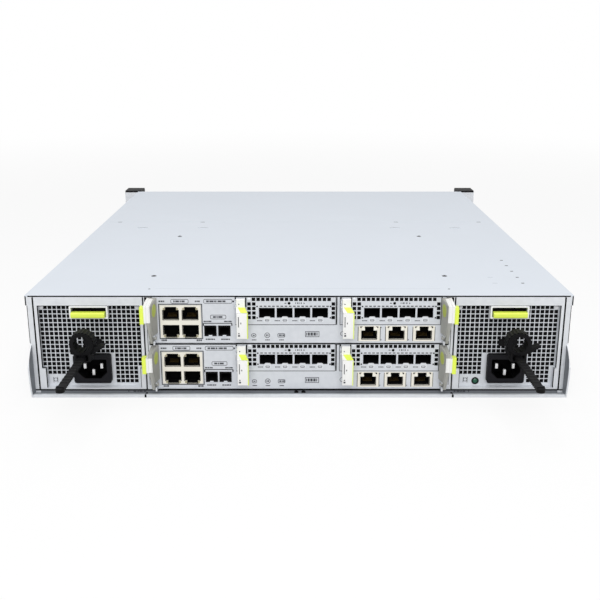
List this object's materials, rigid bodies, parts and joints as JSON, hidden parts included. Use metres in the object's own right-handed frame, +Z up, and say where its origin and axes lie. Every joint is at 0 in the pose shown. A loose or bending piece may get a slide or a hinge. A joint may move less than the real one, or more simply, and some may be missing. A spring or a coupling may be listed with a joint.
{
  "type": "disk shelf enclosure",
  "caption": "Two-unit rack disk enclosure: sheet-metal chassis with sliding controllers, interface modules, power modules and front disk carriers.",
  "frame": {"origin": "centre of the chassis underside, midway between the rear plane of the connectors and the front flange", "axes": "+Z up, -Y towards the connector side, +Y towards the disk side, +X to the right as seen from the connector side"},
  "size_m": [0.4826, 0.6508, 0.0872],
  "materials": {
    "zinc_sheet": "satin zinc-plated sheet",
    "painted_sheet": "fine satin paint",
    "circuit_board": "solder mask",
    "jack_shield": "satin",
    "white_plastic": "satin",
    "lime_plastic": "satin",
    "black_plastic": "fine-grained",
    "carrier_alloy": "satin"
  },
  "bodies": {
    "chassis": {"chassis_tray": "zinc_sheet", "bay_dividers": "zinc_sheet", "front_top_cover": "painted_sheet", "rear_top_cover": "painted_sheet", "ear_trims": "black_plastic", "midplane_board": "circuit_board"},
    "controller_b": {"controller_b_tray": "zinc_sheet", "controller_b_board": "circuit_board", "controller_b_jacks": "jack_shield"},
    "controller_b_left_lever": {"controller_b_left_lever": "white_plastic"},
    "controller_b_right_lever": {"controller_b_right_lever": "white_plastic"},
    "interface_b1": {"interface_b1_module": "zinc_sheet"},
    "interface_b1_pull": {"interface_b1_handle": "white_plastic"},
    "interface_b2": {"interface_b2_module": "zinc_sheet"},
    "interface_b2_pull": {"interface_b2_handle": "white_plastic"},
    "controller_a": {"controller_a_tray": "zinc_sheet", "controller_a_board": "circuit_board", "controller_a_jacks": "jack_shield"},
    "controller_a_left_lever": {"controller_a_left_lever": "white_plastic"},
    "controller_a_right_lever": {"controller_a_right_lever": "white_plastic"},
    "interface_a1": {"interface_a1_module": "zinc_sheet"},
    "interface_a1_pull": {"interface_a1_handle": "white_plastic"},
    "interface_a2": {"interface_a2_module": "zinc_sheet"},
    "interface_a2_pull": {"interface_a2_handle": "white_plastic"},
    "power_left": {"power_left_case": "zinc_sheet", "power_left_inlet": "black_plastic", "power_left_strap": "black_plastic"},
    "power_left_latch": {"power_left_latch": "lime_plastic"},
    "power_left_clamp": {"power_left_clamp": "black_plastic"},
    "power_left_fan": {"power_left_fan": "black_plastic"},
    "power_right": {"power_right_case": "zinc_sheet", "power_right_inlet": "black_plastic", "power_right_strap": "black_plastic"},
    "power_right_latch": {"power_right_latch": "lime_plastic"},
    "power_right_clamp": {"power_right_clamp": "black_plastic"},
    "power_right_fan": {"power_right_fan": "black_plastic"},
    "disk_01": {"disk_01_carrier": "carrier_alloy"},
    "disk_01_lever": {"disk_01_grip": "black_plastic"},
    "disk_02": {"disk_02_carrier": "carrier_alloy"},
    "disk_02_lever": {"disk_02_grip": "black_plastic"},
    "disk_03": {"disk_03_carrier": "carrier_alloy"},
    "disk_03_lever": {"disk_03_grip": "black_plastic"},
    "disk_04": {"disk_04_carrier": "carrier_alloy"},
    "disk_04_lever": {"disk_04_grip": "black_plastic"},
    "disk_05": {"disk_05_carrier": "carrier_alloy"},
    "disk_05_lever": {"disk_05_grip": "black_plastic"},
    "disk_06": {"disk_06_carrier": "carrier_alloy"},
    "disk_06_lever": {"disk_06_grip": "black_plastic"},
    "disk_07": {"disk_07_carrier": "carrier_alloy"},
    "disk_07_lever": {"disk_07_grip": "black_plastic"},
    "disk_08": {"disk_08_carrier": "carrier_alloy"},
    "disk_08_lever": {"disk_08_grip": "black_plastic"},
    "disk_09": {"disk_09_carrier": "carrier_alloy"},
    "disk_09_lever": {"disk_09_grip": "black_plastic"},
    "disk_10": {"disk_10_carrier": "carrier_alloy"},
    "disk_10_lever": {"disk_10_grip": "black_plastic"},
    "disk_11": {"disk_11_carrier": "carrier_alloy"},
    "disk_11_lever": {"disk_11_grip": "black_plastic"},
    "disk_12": {"disk_12_carrier": "carrier_alloy"},
    "disk_12_lever": {"disk_12_grip": "black_plastic"}
  },
  "joints": [
    {"name": "controller_b_slide", "type": "slide", "parent": "chassis", "child": "controller_b", "axis": [0, -1, 0], "range_m": [0, 0.33]},
    {"name": "controller_b_left_lever_hinge", "type": "hinge", "parent": "controller_b", "child": "controller_b_left_lever", "pos_m": [-0.1235, -0.2644, 0.0104], "axis": [1, 0, 0], "range_deg": [0, 48]},
    {"name": "controller_b_right_lever_hinge", "type": "hinge", "parent": "controller_b", "child": "controller_b_right_lever", "pos_m": [0.1235, -0.2644, 0.0104], "axis": [1, 0, 0], "range_deg": [0, 48]},
    {"name": "interface_b1_slide", "type": "slide", "parent": "controller_b", "child": "interface_b1", "axis": [0, -1, 0], "range_m": [0, 0.165]},
    {"name": "interface_b1_handle_hinge", "type": "hinge", "parent": "interface_b1", "child": "interface_b1_pull", "pos_m": [-0.04815, -0.2638, 0.03979], "axis": [-1, 0, 0], "range_deg": [0, 55]},
    {"name": "interface_b2_slide", "type": "slide", "parent": "controller_b", "child": "interface_b2", "axis": [0, -1, 0], "range_m": [0, 0.165]},
    {"name": "interface_b2_handle_hinge", "type": "hinge", "parent": "interface_b2", "child": "interface_b2_pull", "pos_m": [0.03785, -0.2638, 0.03979], "axis": [-1, 0, 0], "range_deg": [0, 55]},
    {"name": "controller_a_slide", "type": "slide", "parent": "chassis", "child": "controller_a", "axis": [0, -1, 0], "range_m": [0, 0.33]},
    {"name": "controller_a_left_lever_hinge", "type": "hinge", "parent": "controller_a", "child": "controller_a_left_lever", "pos_m": [-0.1235, -0.2644, 0.0509], "axis": [1, 0, 0], "range_deg": [0, 48]},
    {"name": "controller_a_right_lever_hinge", "type": "hinge", "parent": "controller_a", "child": "controller_a_right_lever", "pos_m": [0.1235, -0.2644, 0.0509], "axis": [1, 0, 0], "range_deg": [0, 48]},
    {"name": "interface_a1_slide", "type": "slide", "parent": "controller_a", "child": "interface_a1", "axis": [0, -1, 0], "range_m": [0, 0.165]},
    {"name": "interface_a1_handle_hinge", "type": "hinge", "parent": "interface_a1", "child": "interface_a1_pull", "pos_m": [-0.04815, -0.2638, 0.08029], "axis": [-1, 0, 0], "range_deg": [0, 55]},
    {"name": "interface_a2_slide", "type": "slide", "parent": "controller_a", "child": "interface_a2", "axis": [0, -1, 0], "range_m": [0, 0.165]},
    {"name": "interface_a2_handle_hinge", "type": "hinge", "parent": "interface_a2", "child": "interface_a2_pull", "pos_m": [0.03785, -0.2638, 0.08029], "axis": [-1, 0, 0], "range_deg": [0, 55]},
    {"name": "power_left_slide", "type": "slide", "parent": "chassis", "child": "power_left", "axis": [0, -1, 0], "range_m": [0, 0.33]},
    {"name": "power_left_latch_slide", "type": "slide", "parent": "power_left", "child": "power_left_latch", "axis": [0, 0, 1], "range_m": [0, 0.003], "stiffness_N_per_m": 400, "springref_m": -0.002},
    {"name": "power_left_clamp_slide", "type": "slide", "parent": "power_left", "child": "power_left_clamp", "axis": [0, -1, 0], "range_m": [-0.012, 0.055]},
    {"name": "power_left_fan_spin", "type": "hinge", "parent": "power_left", "child": "power_left_fan", "pos_m": [-0.17235, -0.226, 0.04829], "axis": [0, 1, 0], "continuous": true},
    {"name": "power_right_slide", "type": "slide", "parent": "chassis", "child": "power_right", "axis": [0, -1, 0], "range_m": [0, 0.33]},
    {"name": "power_right_latch_slide", "type": "slide", "parent": "power_right", "child": "power_right_latch", "axis": [0, 0, 1], "range_m": [0, 0.003], "stiffness_N_per_m": 400, "springref_m": -0.002},
    {"name": "power_right_clamp_slide", "type": "slide", "parent": "power_right", "child": "power_right_clamp", "axis": [0, -1, 0], "range_m": [-0.012, 0.055]},
    {"name": "power_right_fan_spin", "type": "hinge", "parent": "power_right", "child": "power_right_fan", "pos_m": [0.17235, -0.226, 0.04829], "axis": [0, 1, 0], "continuous": true},
    {"name": "disk_01_slide", "type": "slide", "parent": "chassis", "child": "disk_01", "axis": [0, 1, 0], "range_m": [0, 0.21]},
    {"name": "disk_01_lever_hinge", "type": "hinge", "parent": "disk_01", "child": "disk_01_lever", "pos_m": [-0.212, 0.2625, 0.01507], "axis": [0, 0, 1], "range_deg": [0, 70]},
    {"name": "disk_02_slide", "type": "slide", "parent": "chassis", "child": "disk_02", "axis": [0, 1, 0], "range_m": [0, 0.21]},
    {"name": "disk_02_lever_hinge", "type": "hinge", "parent": "disk_02", "child": "disk_02_lever", "pos_m": [-0.1025, 0.2625, 0.01507], "axis": [0, 0, 1], "range_deg": [0, 70]},
    {"name": "disk_03_slide", "type": "slide", "parent": "chassis", "child": "disk_03", "axis": [0, 1, 0], "range_m": [0, 0.21]},
    {"name": "disk_03_lever_hinge", "type": "hinge", "parent": "disk_03", "child": "disk_03_lever", "pos_m": [0.007, 0.2625, 0.01507], "axis": [0, 0, 1], "range_deg": [0, 70]},
    {"name": "disk_04_slide", "type": "slide", "parent": "chassis", "child": "disk_04", "axis": [0, 1, 0], "range_m": [0, 0.21]},
    {"name": "disk_04_lever_hinge", "type": "hinge", "parent": "disk_04", "child": "disk_04_lever", "pos_m": [0.1165, 0.2625, 0.01507], "axis": [0, 0, 1], "range_deg": [0, 70]},
    {"name": "disk_05_slide", "type": "slide", "parent": "chassis", "child": "disk_05", "axis": [0, 1, 0], "range_m": [0, 0.21]},
    {"name": "disk_05_lever_hinge", "type": "hinge", "parent": "disk_05", "child": "disk_05_lever", "pos_m": [-0.212, 0.2625, 0.04299], "axis": [0, 0, 1], "range_deg": [0, 70]},
    {"name": "disk_06_slide", "type": "slide", "parent": "chassis", "child": "disk_06", "axis": [0, 1, 0], "range_m": [0, 0.21]},
    {"name": "disk_06_lever_hinge", "type": "hinge", "parent": "disk_06", "child": "disk_06_lever", "pos_m": [-0.1025, 0.2625, 0.04299], "axis": [0, 0, 1], "range_deg": [0, 70]},
    {"name": "disk_07_slide", "type": "slide", "parent": "chassis", "child": "disk_07", "axis": [0, 1, 0], "range_m": [0, 0.21]},
    {"name": "disk_07_lever_hinge", "type": "hinge", "parent": "disk_07", "child": "disk_07_lever", "pos_m": [0.007, 0.2625, 0.04299], "axis": [0, 0, 1], "range_deg": [0, 70]},
    {"name": "disk_08_slide", "type": "slide", "parent": "chassis", "child": "disk_08", "axis": [0, 1, 0], "range_m": [0, 0.21]},
    {"name": "disk_08_lever_hinge", "type": "hinge", "parent": "disk_08", "child": "disk_08_lever", "pos_m": [0.1165, 0.2625, 0.04299], "axis": [0, 0, 1], "range_deg": [0, 70]},
    {"name": "disk_09_slide", "type": "slide", "parent": "chassis", "child": "disk_09", "axis": [0, 1, 0], "range_m": [0, 0.21]},
    {"name": "disk_09_lever_hinge", "type": "hinge", "parent": "disk_09", "child": "disk_09_lever", "pos_m": [-0.212, 0.2625, 0.07093], "axis": [0, 0, 1], "range_deg": [0, 70]},
    {"name": "disk_10_slide", "type": "slide", "parent": "chassis", "child": "disk_10", "axis": [0, 1, 0], "range_m": [0, 0.21]},
    {"name": "disk_10_lever_hinge", "type": "hinge", "parent": "disk_10", "child": "disk_10_lever", "pos_m": [-0.1025, 0.2625, 0.07093], "axis": [0, 0, 1], "range_deg": [0, 70]},
    {"name": "disk_11_slide", "type": "slide", "parent": "chassis", "child": "disk_11", "axis": [0, 1, 0], "range_m": [0, 0.21]},
    {"name": "disk_11_lever_hinge", "type": "hinge", "parent": "disk_11", "child": "disk_11_lever", "pos_m": [0.007, 0.2625, 0.07093], "axis": [0, 0, 1], "range_deg": [0, 70]},
    {"name": "disk_12_slide", "type": "slide", "parent": "chassis", "child": "disk_12", "axis": [0, 1, 0], "range_m": [0, 0.21]},
    {"name": "disk_12_lever_hinge", "type": "hinge", "parent": "disk_12", "child": "disk_12_lever", "pos_m": [0.1165, 0.2625, 0.07093], "axis": [0, 0, 1], "range_deg": [0, 70]}
  ]
}
